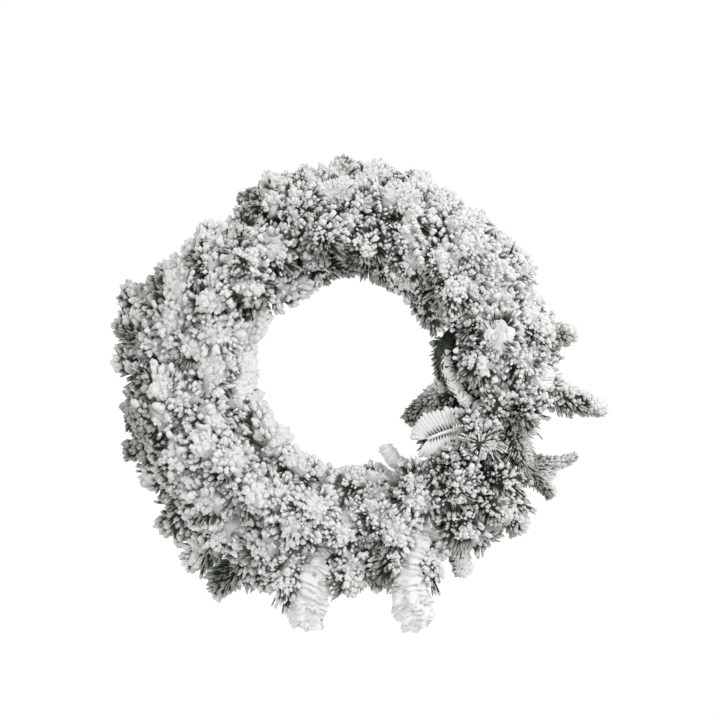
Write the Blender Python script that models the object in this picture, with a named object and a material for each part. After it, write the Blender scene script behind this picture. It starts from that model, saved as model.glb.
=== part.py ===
"""Frosted pine wreath: a wire ring with flocked pine sprays hooked round it.

The wreath hangs upright and faces -Y. The origin is where a hook carries it, under the
ring wire at the top. Lengths are in metres, and +Z is up.
"""

import math
from collections import namedtuple

import bpy
import numpy as np

MM = 0.001
DEG = math.pi / 180
BACK = np.array([0.0, 1.0, 0.0])

# The ring
RING_RADIUS = 178 * MM
WIRE_RADIUS = 2.0 * MM
RING_SEGMENTS = 48
RING_SIDES = 6
RING_CENTRE = np.array([0.0, 0.0, WIRE_RADIUS - RING_RADIUS])

# The sprays stand in four rows, one spray of each row at each station round the ring.
# root: where the wire is hooked on, in degrees. ends: where each tip ends, in degrees, the
# main tip first. reach and depth: how far outside the ring wire, and how far behind it, the
# tips end, in mm. leave: the direction in which the wire leaves its hook, from 0, straight
# out, through 90, to the front, to 180, straight in. fork: how far up the stem the side
# tips are twisted on, in mm. girth: from the stem to the needles' points, in mm.
# sag: the share of SAG that the row takes. zigzag: how far every second tip ends further out
# than reach, and the others further in, in mm. stray: how freely the row's tips stray.
STATIONS = 12
STATION_STEP = 360 / STATIONS
TIP_STEP = 10
Row = namedtuple("Row", "name root ends reach depth leave fork girth sag zigzag stray")
ROWS = (
    Row("outer", 3.75, (0, -10, 10), 84, 6, 10, 15, 28, 1.0, 0, 1.0),
    Row("shoulder", 18.75, (15, 5, 25), 44, -50, 50, 15, 29, 0.8, 8, 1.8),
    Row("face", 11.25, (10, 0, 20), -6, -66, 95, 15, 28, 0.3, 11, 2.0),
    Row("inner", 26.25, (0, 15), -54, -34, 150, 11, 25, 0.0, 0, 1.0),
)
# The bunch hangs a little low, so its tips reach further below the ring than above it
SAG = 22 * MM
# Tips that end outside the round or inside it: the angle in degrees, and how far in mm
OUTER_TIPS = {0: -22, 10: 16, 20: -12, 30: -6, 60: -12, 70: 2, 90: 5, 120: -12, 130: -30, 140: -18, 150: -6}
OUTER_TIPS |= {160: 14, 170: 14, 190: -6, 210: -14, 220: 6, 230: 14, 240: 18, 250: -10, 260: 4, 270: -36}
OUTER_TIPS |= {280: -32, 290: 10, 300: -6, 310: -18, 320: -2, 330: 12, 340: 32, 350: 48}
INNER_TIPS = {15: 4, 60: 6, 75: 14, 120: -8, 195: -6, 210: -8, 225: -10, 270: 6, 285: 36, 315: 8, 330: -22}
ODD_TIPS = {"outer": OUTER_TIPS, "inner": INNER_TIPS}
# Tips that end to one side of their station, in degrees
ODD_TURNS = {"outer": {260: 2, 290: -3}, "inner": {165: -6, 180: -6, 315: 8}}
# How far a tip's end strays from its place: outwards, in depth, and round the ring in degrees
STRAY_OUT = 4 * MM
STRAY_DEPTH = 7 * MM
STRAY_TURN = 2.0
GIRTH_SPREAD = 0.1
SIDE_GIRTH = 0.92
SEED = 3

# The wire stem, curled round the ring and then bent to its place
STEM_RADIUS = 1.5 * MM
HOOK_RADIUS = 5.0 * MM
HOOK_TURN = 240
HOOK_STEPS = 3
HOOK_PITCH = 4.0 * MM
MAIN_BEND = 0.55
SIDE_BEND = 0.45
SIDE_SPREAD = 1.2
AXIS_STEP = 4 * MM

# The slim core, and the needles raised over its triangles
SIDES = 4
BAND = 19 * MM
CORE_START_RADIUS = 3.0 * MM
CORE_RADIUS = 6.0 * MM
CORE_END_RADIUS = 3.5 * MM
FIRST_NEEDLE = 14 * MM
PARTED = 8 * MM
NEEDLE_LEAN = 66 * DEG
END_LEAN = 38 * DEG
NEEDLE_LENGTHS = (0.86, 1.08)
CROWN = 0.6
TAPER = 0.15
LONG_TAPER = 0.45
LONG_REACH = 260 * MM
# Needles are trimmed to keep this far inside their own tip's space, and from the ring wire
CLEARANCE = 1.5 * MM
RING_CLEARANCE = 3.5 * MM
SHORTEST = 0.25
TRIMS = np.arange(1.0, SHORTEST, -0.05)

FROSTED = (0.78, 0.79, 0.78)
GREEN_WIRE = (0.04, 0.09, 0.04)

Tip = namedtuple("Tip", "axis girth taper")
Spray = namedtuple("Spray", "name curl tips")


def unit(vector):
    return vector / np.linalg.norm(vector)


def outward(turn):
    """The direction from the ring's centre at an angle in degrees."""
    return np.array([math.cos(turn * DEG), 0.0, math.sin(turn * DEG)])


def along_ring(turn):
    return np.array([-math.sin(turn * DEG), 0.0, math.cos(turn * DEG)])


def bezier(start, control, end):
    """Points about AXIS_STEP apart on a quadratic curve."""
    length = np.linalg.norm(control - start) + np.linalg.norm(end - control)
    s = np.linspace(0, 1, max(6, round(length / AXIS_STEP)))[:, None]
    return (1 - s) ** 2 * start + 2 * s * (1 - s) * control + s**2 * end


def lengths_along(axis):
    """Distance of each axis point from the axis's start."""
    return np.concatenate([[0], np.cumsum(np.linalg.norm(np.diff(axis, axis=0), axis=1))])


def at_lengths(axis, lengths):
    """The points at these distances along the axis."""
    run = lengths_along(axis)
    return np.stack([np.interp(lengths, run, axis[:, i]) for i in range(3)], axis=1)


def hook(root, leave):
    """The curl of wire round the ring, end first, and the point where it leaves the ring."""
    curl = []
    for step in range(HOOK_STEPS + 1):
        back = 1 - step / HOOK_STEPS
        angle = (leave - 90 - back * HOOK_TURN) * DEG
        across = math.cos(angle) * outward(root) - math.sin(angle) * BACK
        slide = -back * HOOK_PITCH * along_ring(root)
        curl.append(RING_CENTRE + RING_RADIUS * outward(root) + HOOK_RADIUS * across + slide)
    return curl[:-1], curl[-1]


def reach_of(row, turn):
    """How far from the ring's centre a tip of this row ends."""
    odd = ODD_TIPS.get(row.name, {}).get(round(turn) % 360, 0)
    side = 1 if math.floor(turn / TIP_STEP) % 2 else -1
    reach = row.reach + side * row.zigzag + odd
    return RING_RADIUS + reach * MM - row.sag * SAG * math.sin(turn * DEG)


def odd_turn(row, turn):
    """How far round the ring from its station a tip of this row ends."""
    return ODD_TURNS.get(row.name, {}).get(round(turn) % 360, 0)


def plan_spray(row, station, rng):
    """One spray: its hook, its main tip, and the side tips twisted on the main tip's stem."""
    first = station * STATION_STEP
    root = row.root + first
    curl, start = hook(root, row.leave)
    leave = math.cos(row.leave * DEG) * outward(root) - math.sin(row.leave * DEG) * BACK
    tips = []
    for turn in row.ends:
        there = turn + first
        reach = reach_of(row, there)
        taper = LONG_TAPER if reach * math.cos(there * DEG) > LONG_REACH else TAPER
        strays = row.stray * rng.uniform(-1, 1, 3) * (STRAY_OUT, STRAY_DEPTH, STRAY_TURN)
        stray_out, stray_depth, stray_turn = strays
        girth = row.girth * MM * rng.uniform(1 - GIRTH_SPREAD, 1 + GIRTH_SPREAD)
        end = RING_CENTRE + (reach + stray_out) * outward(there + odd_turn(row, there) + stray_turn)
        end = end + (row.depth * MM + stray_depth) * BACK
        if not tips:
            main = bezier(start, start + MAIN_BEND * np.linalg.norm(end - start) * leave, end)
            tips.append(Tip(main, girth, taper))
            continue
        at = int(np.searchsorted(lengths_along(main), row.fork * MM))
        along = unit(main[at + 1] - main[at - 1])
        away = end - main[at]
        aside = unit(away - along * (away @ along))
        control = main[at] + SIDE_BEND * np.linalg.norm(away) * unit(along + SIDE_SPREAD * aside)
        tips.append(Tip(bezier(main[at], control, end), SIDE_GIRTH * girth, taper))
    return Spray(f"{row.name}_spray_{station + 1:02d}", curl, tips)


def distances(points, others):
    """Distance of each point from the nearest of the others."""
    return np.linalg.norm(points[:, None] - others[None], axis=2).min(1)


def ring_distances(points):
    """Distance of each point from the ring wire's centre line."""
    away = points - RING_CENTRE
    return np.hypot(np.hypot(away[:, 0], away[:, 2]) - RING_RADIUS, away[:, 1])


def first_needle(tip, spray):
    """How far up its stem a tip has its first needles: past where the tips have parted."""
    others = [other.axis for other in spray.tips if other is not tip]
    parted = distances(tip.axis, np.concatenate(others)) > PARTED
    return max(FIRST_NEEDLE, lengths_along(tip.axis)[np.argmax(parted)])


def trims(feet, needles, own, others):
    """The part of each needle that ends nearer to its own tip's axis than to any other."""
    kept = np.full(len(feet), SHORTEST)
    for trim in TRIMS[::-1]:
        ends = feet + trim * needles
        fits = distances(ends, own) + CLEARANCE < distances(ends, others)
        fits &= ring_distances(ends) > WIRE_RADIUS + RING_CLEARANCE
        kept[fits] = trim
    return kept


def carried_frames(points):
    """Two unit vectors across the path and one along it, at each point, without twist."""
    along = np.gradient(points, axis=0)
    along /= np.linalg.norm(along, axis=1)[:, None]
    side = np.array([0.3, 0.5, 0.8])
    sides = []
    for direction in along:
        side = unit(side - direction * (side @ direction))
        sides.append(side)
    return np.array(sides), np.cross(along, sides), along


def tube(points, radii):
    """A tube's vertices and triangles. Each ring is turned half a side on from the last."""
    side, across, along = carried_frames(points)
    ring = np.arange(len(points))[:, None]
    angle = 2 * math.pi * (np.arange(SIDES)[None] + 0.5 * ring) / SIDES
    spoke = np.cos(angle)[..., None] * side[:, None] + np.sin(angle)[..., None] * across[:, None]
    vertices = (points[:, None] + radii[:, None, None] * spoke).reshape(-1, 3)
    a = ring[:-1] * SIDES + np.arange(SIDES)[None]
    b = ring[:-1] * SIDES + (np.arange(SIDES)[None] + 1) % SIDES
    triangles = np.stack([a, b, a + SIDES, b, b + SIDES, a + SIDES], axis=2).reshape(-1, 3)
    return vertices, triangles, along


def raise_needles(tip, bands, vertices, cells, points, along, rng):
    """Foot and needle for each triangle of the core: the needle leans towards the tip's end."""
    ring = cells // SIDES
    feet = points[ring].mean(1)
    ahead = along[ring].mean(1)
    out = vertices[cells].mean(1) - feet
    out -= ahead * (out * ahead).sum(1)[:, None]
    out /= np.linalg.norm(out, axis=1)[:, None]
    place = ((ring.mean(1) - (len(points) - 1 - bands)) / bands)[:, None]
    lean = NEEDLE_LEAN + (END_LEAN - NEEDLE_LEAN) * place**2
    length = tip.girth / math.sin(NEEDLE_LEAN) * (1 - tip.taper * place**2)
    length = length * rng.uniform(*NEEDLE_LENGTHS, (len(cells), 1))
    return feet, length * (np.sin(lean) * out + np.cos(lean) * ahead)


def tip_mesh(tip, spray, others, rng):
    """One closed tip: the bare stem, and then the core with a needle on every triangle."""
    run = lengths_along(tip.axis)[-1]
    first = first_needle(tip, spray)
    bands = max(2, round((run - first) / BAND))
    curl = spray.curl if tip is spray.tips[0] else []
    body = at_lengths(tip.axis, np.concatenate([[0.0], np.linspace(first, run, bands + 1)]))
    points = np.concatenate([curl, body]) if curl else body
    bare = len(points) - 1 - bands
    radii = np.full(len(points), STEM_RADIUS)
    radii[bare:] = np.linspace(CORE_RADIUS, CORE_END_RADIUS, bands + 1)
    radii[bare] = CORE_START_RADIUS
    vertices, triangles, along = tube(points, radii)
    plain = triangles[: bare * 2 * SIDES]
    cells = triangles[bare * 2 * SIDES :]
    feet, needles = raise_needles(tip, bands, vertices, cells, points, along, rng)
    ends = feet + trims(feet, needles, tip.axis, others)[:, None] * needles
    caps = [points[0] - STEM_RADIUS * along[0], points[-1] + CROWN * tip.girth * along[-1]]
    apex = len(vertices) + np.arange(len(cells))
    root = len(vertices) + len(cells)
    faces = [tuple(face) for face in plain.tolist()]
    for (p, q, r), top in zip(cells.tolist(), apex.tolist()):
        faces += [(p, q, top), (q, r, top), (r, p, top)]
    last = len(vertices) - SIDES
    for k in range(SIDES):
        faces.append(((k + 1) % SIDES, k, root))
        faces.append((last + k, last + (k + 1) % SIDES, root + 1))
    return np.concatenate([vertices, ends, caps]), faces


def make_object(name, vertices, faces, material):
    mesh = bpy.data.meshes.new(name)
    mesh.from_pydata(vertices.tolist(), [], faces)
    mesh.materials.append(material)
    made = bpy.data.objects.new(name, mesh)
    bpy.context.scene.collection.objects.link(made)
    return made


def fuse(main, sides):
    """Fuses a spray's side tips into its main tip."""
    group = bpy.data.collections.new(main.name + "_sides")
    for side in sides:
        group.objects.link(side)
    union = main.modifiers.new("union", "BOOLEAN")
    union.operation = "UNION"
    union.operand_type = "COLLECTION"
    union.collection = group
    union.solver = "EXACT"
    graph = bpy.context.evaluated_depsgraph_get()
    main.data = bpy.data.meshes.new_from_object(main.evaluated_get(graph))
    main.modifiers.clear()
    for side in sides:
        bpy.data.objects.remove(side)
    bpy.data.collections.remove(group)


def make_spray(spray, sprays, material, rng):
    """A spray's tips, each trimmed to its own space, fused into one solid."""
    tips = []
    for number, tip in enumerate(spray.tips):
        others = [other.axis for each in sprays for other in each.tips if other is not tip]
        vertices, faces = tip_mesh(tip, spray, np.concatenate(others), rng)
        name = f"{spray.name}_side_{number}" if number else spray.name
        tips.append(make_object(name, vertices, faces, material))
    fuse(tips[0], tips[1:])


def make_ring(material):
    bpy.ops.mesh.primitive_torus_add(
        major_segments=RING_SEGMENTS,
        minor_segments=RING_SIDES,
        major_radius=RING_RADIUS,
        minor_radius=WIRE_RADIUS,
        location=tuple(RING_CENTRE),
        rotation=(90 * DEG, 0, 0),
    )
    ring = bpy.context.object
    ring.name = "wire_ring"
    ring.data.shade_smooth()
    ring.data.materials.append(material)


def make_material(name, colour, roughness, metallic):
    material = bpy.data.materials.new(name)
    material.use_nodes = True
    shader = material.node_tree.nodes["Principled BSDF"]
    shader.inputs["Base Color"].default_value = (*colour, 1)
    shader.inputs["Roughness"].default_value = roughness
    shader.inputs["Metallic"].default_value = metallic
    return material


def main():
    for old in list(bpy.data.objects):
        bpy.data.objects.remove(old)
    make_ring(make_material("green_wire", GREEN_WIRE, 0.45, 0.3))
    rng = np.random.default_rng(SEED)
    sprays = [plan_spray(row, station, rng) for row in ROWS for station in range(STATIONS)]
    frosted = make_material("frosted_needles", FROSTED, 0.9, 0.0)
    for spray in sprays:
        make_spray(spray, sprays, frosted, rng)


main()
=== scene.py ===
# %% [markdown]
# # A frosted pine wreath
#
# A wreath like this one is a ring of stout green wire with some fifty sprays of plastic pine
# hooked round it, all sprayed with glue from the front and dusted with white flock. From a
# step away nothing of it is smooth: it is tens of thousands of needles, each with its own
# coat. This file loads the wreath's solids, which settle where every spray stands, and then
# grows the fine needles and their flock on the same stems.

# %% Load the solids
import math
from collections import namedtuple

import bpy
import numpy as np
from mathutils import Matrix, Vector


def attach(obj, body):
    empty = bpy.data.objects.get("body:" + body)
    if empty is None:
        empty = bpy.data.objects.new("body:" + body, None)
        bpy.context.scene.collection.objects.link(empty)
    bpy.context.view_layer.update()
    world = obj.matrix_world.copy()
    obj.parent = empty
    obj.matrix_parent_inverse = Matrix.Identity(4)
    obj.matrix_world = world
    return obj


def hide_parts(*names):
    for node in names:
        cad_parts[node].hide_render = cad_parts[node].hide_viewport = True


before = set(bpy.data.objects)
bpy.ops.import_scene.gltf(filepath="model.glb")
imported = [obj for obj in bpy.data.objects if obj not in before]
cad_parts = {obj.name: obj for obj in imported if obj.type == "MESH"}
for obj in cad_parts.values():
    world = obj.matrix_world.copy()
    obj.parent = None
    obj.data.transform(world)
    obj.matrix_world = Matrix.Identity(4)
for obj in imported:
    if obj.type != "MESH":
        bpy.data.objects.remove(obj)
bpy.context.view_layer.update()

# %% [markdown]
# ## The ring and the rows of sprays
#
# The sprays stand in four rows, twelve stations each: one row reaches outwards, one over the
# shoulder, one stands out of the face, and one bends in over the hole. The rule that plans
# them is the one the solids were made by, with the same random draws in the same order, so
# each fine spray grows where its solid stands.

# %% Units and the ring
MM = 0.001
DEG = math.pi / 180
BACK = np.array([0.0, 1.0, 0.0])
RING_RADIUS = 178 * MM
WIRE_RADIUS = 2.0 * MM
RING_CENTRE = np.array([0.0, 0.0, WIRE_RADIUS - RING_RADIUS])

# %% The rows
STATIONS = 12
STATION_STEP = 360 / STATIONS
TIP_STEP = 10
INNER_STEP = 15
Row = namedtuple("Row", "name root ends reach depth leave fork girth sag zigzag stray")
ROWS = (
    Row("outer", 3.75, (0, -10, 10), 84, 6, 10, 15, 28, 1.0, 0, 1.0),
    Row("shoulder", 18.75, (15, 5, 25), 44, -50, 50, 15, 29, 0.8, 8, 1.8),
    Row("face", 11.25, (10, 0, 20), -6, -66, 95, 15, 28, 0.3, 11, 2.0),
    Row("inner", 26.25, (0, 15), -54, -34, 150, 11, 25, 0.0, 0, 1.0),
)
SAG = 22 * MM
OUTER_TIPS = {0: -22, 10: 16, 20: -12, 30: -6, 60: -12, 70: 2, 90: 5, 120: -12, 130: -30}
OUTER_TIPS |= {140: -18, 150: -6, 160: 14, 170: 14, 190: -6, 210: -14, 220: 6, 230: 14, 240: 18}
OUTER_TIPS |= {250: -10, 260: 4, 270: -36, 280: -32, 290: 10, 300: -6, 310: -18, 320: -2}
OUTER_TIPS |= {330: 12, 340: 32, 350: 48}
INNER_TIPS = {15: 4, 60: 6, 75: 14, 120: -8, 195: -6, 210: -8, 225: -10, 270: 6, 285: 36}
INNER_TIPS |= {315: 8, 330: -22}
ODD_TIPS = {"outer": OUTER_TIPS, "inner": INNER_TIPS}
ODD_TURNS = {"outer": {260: 2, 290: -3}, "inner": {165: -6, 180: -6, 315: 8}}
STRAY_OUT = 4 * MM
STRAY_DEPTH = 7 * MM
STRAY_TURN = 2.0
GIRTH_SPREAD = 0.1
SIDE_GIRTH = 0.92
TAPER = 0.15
LONG_TAPER = 0.45
LONG_REACH = 260 * MM
SEED = 3
print(STATIONS * len(ROWS), "sprays planned in", len(ROWS), "rows")

# %% Directions and curves
Tip = namedtuple("Tip", "axis girth taper")
Spray = namedtuple("Spray", "name curl tips")


def unit(vector):
    """The vector, or each row of an array, divided by its length."""
    return vector / np.linalg.norm(vector, axis=-1, keepdims=True)


def outward(turn):
    """The direction from the ring's centre at an angle in degrees."""
    return np.array([math.cos(turn * DEG), 0.0, math.sin(turn * DEG)])


def along_ring(turn):
    """The direction along the ring at an angle in degrees."""
    return np.array([-math.sin(turn * DEG), 0.0, math.cos(turn * DEG)])


AXIS_STEP = 4 * MM


def bezier(start, control, end):
    """A quadratic curve: (1-s)^2 start + 2s(1-s) control + s^2 end, a point each AXIS_STEP."""
    length = np.linalg.norm(control - start) + np.linalg.norm(end - control)
    s = np.linspace(0, 1, max(6, round(length / AXIS_STEP)))[:, None]
    return (1 - s) ** 2 * start + 2 * s * (1 - s) * control + s**2 * end


def lengths_along(axis):
    """Distance of each axis point from the axis's start: the running sum of its steps."""
    return np.concatenate([[0], np.cumsum(np.linalg.norm(np.diff(axis, axis=0), axis=1))])


def at_lengths(axis, lengths, values=None):
    """The axis's points, or values that go with them, at these distances along it."""
    run = lengths_along(axis)
    values = axis if values is None else values
    return np.stack([np.interp(lengths, run, values[:, i]) for i in range(3)], axis=1)


# %% [markdown]
# Each stem is hooked on the ring with three quarters of a turn of its wire, leaves it in its
# row's direction, and bends to where its main tip ends. The side tips are twisted on a little
# way up.

# %% Plan the sprays
HOOK_RADIUS = 5.0 * MM
HOOK_TURN = 240
HOOK_STEPS = 12
HOOK_PITCH = 4.0 * MM
MAIN_BEND = 0.55
SIDE_BEND = 0.45
SIDE_SPREAD = 1.2


def hook(root, leave):
    """An arc of HOOK_TURN round the ring wire that slides HOOK_PITCH along it, and its end."""
    back = 1 - np.arange(HOOK_STEPS + 1)[:, None] / HOOK_STEPS
    angle = (leave - 90 - back * HOOK_TURN) * DEG
    across = np.cos(angle) * outward(root) - np.sin(angle) * BACK
    curl = RING_CENTRE + RING_RADIUS * outward(root) + HOOK_RADIUS * across
    curl = curl - back * HOOK_PITCH * along_ring(root)
    return curl[:-1], curl[-1]


def reach_of(row, turn):
    """How far from the ring's centre a tip of this row ends."""
    odd = ODD_TIPS.get(row.name, {}).get(round(turn) % 360, 0)
    side = 1 if math.floor(turn / TIP_STEP) % 2 else -1
    reach = row.reach + side * row.zigzag + odd
    return RING_RADIUS + reach * MM - row.sag * SAG * math.sin(turn * DEG)


def odd_turn(row, turn):
    """How far round the ring from its station a tip of this row ends."""
    return ODD_TURNS.get(row.name, {}).get(round(turn) % 360, 0)


def plan_spray(row, station, rng):
    """One spray: its hook, its main tip, and the side tips twisted on the main tip's stem."""
    first = station * STATION_STEP
    root = row.root + first
    curl, start = hook(root, row.leave)
    leave = math.cos(row.leave * DEG) * outward(root) - math.sin(row.leave * DEG) * BACK
    tips = []
    for turn in row.ends:
        there = turn + first
        reach = reach_of(row, there)
        taper = LONG_TAPER if reach * math.cos(there * DEG) > LONG_REACH else TAPER
        strays = row.stray * rng.uniform(-1, 1, 3) * (STRAY_OUT, STRAY_DEPTH, STRAY_TURN)
        stray_out, stray_depth, stray_turn = strays
        girth = row.girth * MM * rng.uniform(1 - GIRTH_SPREAD, 1 + GIRTH_SPREAD)
        end = RING_CENTRE + (reach + stray_out) * outward(there + odd_turn(row, there) + stray_turn)
        end = end + (row.depth * MM + stray_depth) * BACK
        if not tips:
            main = bezier(start, start + MAIN_BEND * np.linalg.norm(end - start) * leave, end)
            tips.append(Tip(main, girth, taper))
            continue
        at = int(np.searchsorted(lengths_along(main), row.fork * MM))
        along = unit(main[at + 1] - main[at - 1])
        away = end - main[at]
        aside = unit(away - along * (away @ along))
        control = main[at] + SIDE_BEND * np.linalg.norm(away) * unit(along + SIDE_SPREAD * aside)
        tips.append(Tip(bezier(main[at], control, end), SIDE_GIRTH * girth, taper))
    return Spray(f"{row.name}_spray_{station + 1:02d}", curl, tips)


layout_rng = np.random.default_rng(SEED)
sprays = [plan_spray(row, station, layout_rng) for row in ROWS for station in range(STATIONS)]
print(sum(len(spray.tips) for spray in sprays), "tips on", len(sprays), "sprays")

# %% [markdown]
# Seven stems were bent by hand once the wreath was made. The white fan's lies across the tips
# behind it, and a rope-like one runs down the right side of the hole. Where these two grew
# before, a short green tip fills the gap. A slim one beside the fan stands up into the hole,
# two on the right are raised, and two at the bottom come forward out of the outer row.

# %% Stems bent by hand
Bent = namedtuple("Bent", "spray tip control end filled")
BENT_STEMS = (
    Bent("inner_spray_01", 0, (0.086, -0.055, -0.144), (0.141, -0.064, -0.209), True),
    Bent("inner_spray_11", 0, (0.073, -0.036, -0.311), (0.051, -0.042, -0.270), False),
    Bent("inner_spray_11", 1, (0.162, -0.074, -0.226), (0.099, -0.068, -0.254), True),
    Bent("outer_spray_01", 1, (0.240, 0.004, -0.207), (0.309, 0.006, -0.220), False),
    Bent("outer_spray_12", 2, (0.236, 0.008, -0.304), (0.279, 0.010, -0.282), False),
    Bent("outer_spray_10", 1, (-0.040, -0.070, -0.392), (-0.044, -0.056, -0.458), False),
    Bent("outer_spray_11", 1, (0.070, -0.072, -0.388), (0.081, -0.056, -0.458), False),
)
for bent in BENT_STEMS:
    tips = next(spray.tips for spray in sprays if spray.name == bent.spray)
    old = tips[bent.tip]
    curve = bezier(old.axis[0], np.array(bent.control), np.array(bent.end))
    tips[bent.tip] = old._replace(axis=curve)
    if bent.filled:
        tips.append(old)
    print("bent", bent.spray, "to", lengths_along(curve)[-1].round(3), "m")

# %% [markdown]
# ## Shader maths as Python
#
# A material is a small program of nodes. Wrapping a node's output in a class whose operators
# add Math nodes lets a formula be written as a formula. Everything that isn't arithmetic goes
# through one method that takes the node's type, its settings and its inputs.


# %% A tap on a shader node
class Tap:
    """An output of a shader node. Python's + - and * on it add Math nodes."""

    def __init__(self, tree, output=None):
        self.tree = tree
        self.output = output

    def node(self, kind, settings=None, inputs=None, output=0):
        """Adds a node of this kind: its settings first, then its sockets' values or links."""
        made = self.tree.nodes.new(kind)
        for key, value in (settings or {}).items():
            setattr(made, key, value)
        for key, value in (inputs or {}).items():
            if isinstance(value, Tap):
                self.tree.links.new(value.output, made.inputs[key])
            else:
                made.inputs[key].default_value = value
        return Tap(self.tree, made.outputs[output] if made.outputs else None)

    def math(self, operation, *values, clamp=False):
        """Adds a Math node of this operation on the values."""
        settings = {"operation": operation, "use_clamp": clamp}
        return self.node("ShaderNodeMath", settings, dict(enumerate(values)))

    def __add__(self, other):
        return self.math("ADD", self, other)

    def __radd__(self, other):
        return self.math("ADD", other, self)

    def __sub__(self, other):
        return self.math("SUBTRACT", self, other)

    def __rsub__(self, other):
        return self.math("SUBTRACT", other, self)

    def __mul__(self, other):
        return self.math("MULTIPLY", self, other)

    def __rmul__(self, other):
        return self.math("MULTIPLY", other, self)

    def clamped(self):
        """The value held between 0 and 1."""
        return self.math("ADD", self, 0.0, clamp=True)

    def eased(self):
        """The value x, from 0 to 1, with soft ends: x * x * (3 - 2x)."""
        return self * self * (3 - 2 * self)

    def mix(self, a, b):
        """Colour a where this value is 0, colour b where it is 1."""
        settings = {"data_type": "RGBA"}
        return self.node("ShaderNodeMix", settings, {0: self, 6: a, 7: b}, output=2)


def new_material(name):
    """An empty node material, and a tap to start its nodes from."""
    material = bpy.data.materials.new(name)
    material.use_nodes = True
    material.node_tree.nodes.clear()
    return material, Tap(material.node_tree)


def finish_material(start, inputs):
    """Adds the Principled shader with these inputs, and links it to the material's output."""
    shader = start.node("ShaderNodeBsdfPrincipled", None, inputs)
    start.node("ShaderNodeOutputMaterial", None, {"Surface": shader})


# %% [markdown]
# ## Flock and needle, one finish
#
# On the real spray a needle is dark green plastic at its foot, and white where the flock
# caught. How far down the white goes differs from needle to needle. So each needle carries
# two numbers in its UV map: U runs from its foot to its end, and V says how much flock it
# took, with painted shade in it where it faces away from the key light. The colour is worked
# out from these two alone: the more flock, the further down it starts, and a thin coat is
# greyer than a thick one. A fine grain in the bump makes the flock crumbly.

# %% The frosted needle finish
BAKE_MAP = "OFBake"
DEEP_GREEN = (0.012, 0.023, 0.010, 1)
LEAF_GREEN = (0.062, 0.112, 0.046, 1)
THIN_FLOCK = (0.46, 0.45, 0.42, 1)
COOL_FLOCK = (0.84, 0.845, 0.85, 1)
WARM_FLOCK = (0.885, 0.86, 0.85, 1)
FROST_FROM = 0.88
FROST_GAIN = 0.4
FROST_EDGE = 0.22
THICK_FROM = 0.42
THICK_GAIN = 2.2
TINT_BANDS = 41.0
GRAIN = 900.0
CRUMB = 330.0


def frosted_finish():
    """Flock where U is past FROST_FROM - FROST_GAIN V, and green below.

    The edge between them is FROST_EDGE wide. From V = THICK_FROM on, the flock goes from its
    thin to its thick colour at the rate THICK_GAIN.
    """
    material, start = new_material("frosted_needles")
    place = start.node("ShaderNodeUVMap", {"uv_map": BAKE_MAP}, None)
    u = start.node("ShaderNodeSeparateXYZ", None, {0: place}, output=0)
    v = start.node("ShaderNodeSeparateXYZ", None, {0: place}, output=1)
    frost = ((u + FROST_GAIN * v - FROST_FROM) * (1 / FROST_EDGE) + 0.5).clamped().eased()
    thick = ((v - THICK_FROM) * THICK_GAIN).clamped().eased()
    band = start.node("ShaderNodeTexNoise", {"noise_dimensions": "1D"}, {"W": v * TINT_BANDS})
    green = u.clamped().mix(DEEP_GREEN, LEAF_GREEN)
    white = thick.mix(THIN_FLOCK, band.mix(COOL_FLOCK, WARM_FLOCK))
    where = start.node("ShaderNodeTexCoord", None, None, output=3)
    grain = start.node("ShaderNodeTexNoise", None, {"Vector": where, "Scale": GRAIN})
    crumb = start.node("ShaderNodeTexNoise", None, {"Vector": where, "Scale": CRUMB})
    height = (grain + 2 * crumb) * frost
    relief = {"Height": height, "Strength": 0.6, "Distance": 0.5 * MM}
    bump = start.node("ShaderNodeBump", None, relief)
    inputs = {"Base Color": frost.mix(green, white), "Roughness": 0.55 + 0.4 * frost}
    inputs |= {"Normal": bump, "Sheen Weight": 0.2, "Specular IOR Level": 0.25}
    finish_material(start, inputs)
    return material


frosted = frosted_finish()
print(len(frosted.node_tree.nodes), "nodes in", frosted.name)

# %% [markdown]
# ## Closed needles, thousands at a time
#
# A needle is a tube of a few rings, closed to a point at its foot and at its end. Worked out
# as whole arrays, a thousand of them cost one call: the centre lines, the rings round them,
# and one pattern of triangles repeated with an offset.


# %% The surface of many needles
def needle_points(feet, reach, shares, radii, beyond):
    """Centre line foot + u reach, with rings of the given radii at the shares u."""
    count, rings, sides = radii.shape
    ahead = unit(reach)
    helper = np.where(np.abs(ahead[:, 2:]) > 0.9, [[1.0, 0.0, 0.0]], [[0.0, 0.0, 1.0]])
    side = unit(np.cross(helper, ahead))
    across = np.cross(ahead, side)
    angle = 2 * math.pi * np.arange(sides) / sides
    spoke = np.cos(angle)[:, None] * side[:, None] + np.sin(angle)[:, None] * across[:, None]
    centre = feet[:, None] + shares[:, :, None] * reach[:, None]
    ring = centre[:, :, None] + radii[..., None] * spoke[:, None]
    end = feet + reach + beyond[:, None] * ahead
    ring = ring.reshape(count, rings * sides, 3)
    return np.concatenate([feet[:, None], ring, end[:, None]], axis=1)


def needle_triangles(count, rings, sides):
    """A fan at the foot, two triangles a side between rings, a fan at the end, count times."""
    k = np.arange(sides)
    after = (k + 1) % sides
    foot = np.stack([0 * k, 1 + after, 1 + k], axis=1)
    low = 1 + sides * np.arange(rings - 1)[:, None]
    a, b = low + k, low + after
    lower = np.stack([a, b, b + sides], axis=2).reshape(-1, 3)
    upper = np.stack([a, b + sides, a + sides], axis=2).reshape(-1, 3)
    last = 1 + sides * (rings - 1)
    end = np.stack([last + k, last + after, 0 * k + rings * sides + 1], axis=1)
    one = np.concatenate([foot, lower, upper, end])
    return (one[None] + (rings * sides + 2) * np.arange(count)[:, None, None]).reshape(-1, 3)


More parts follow.
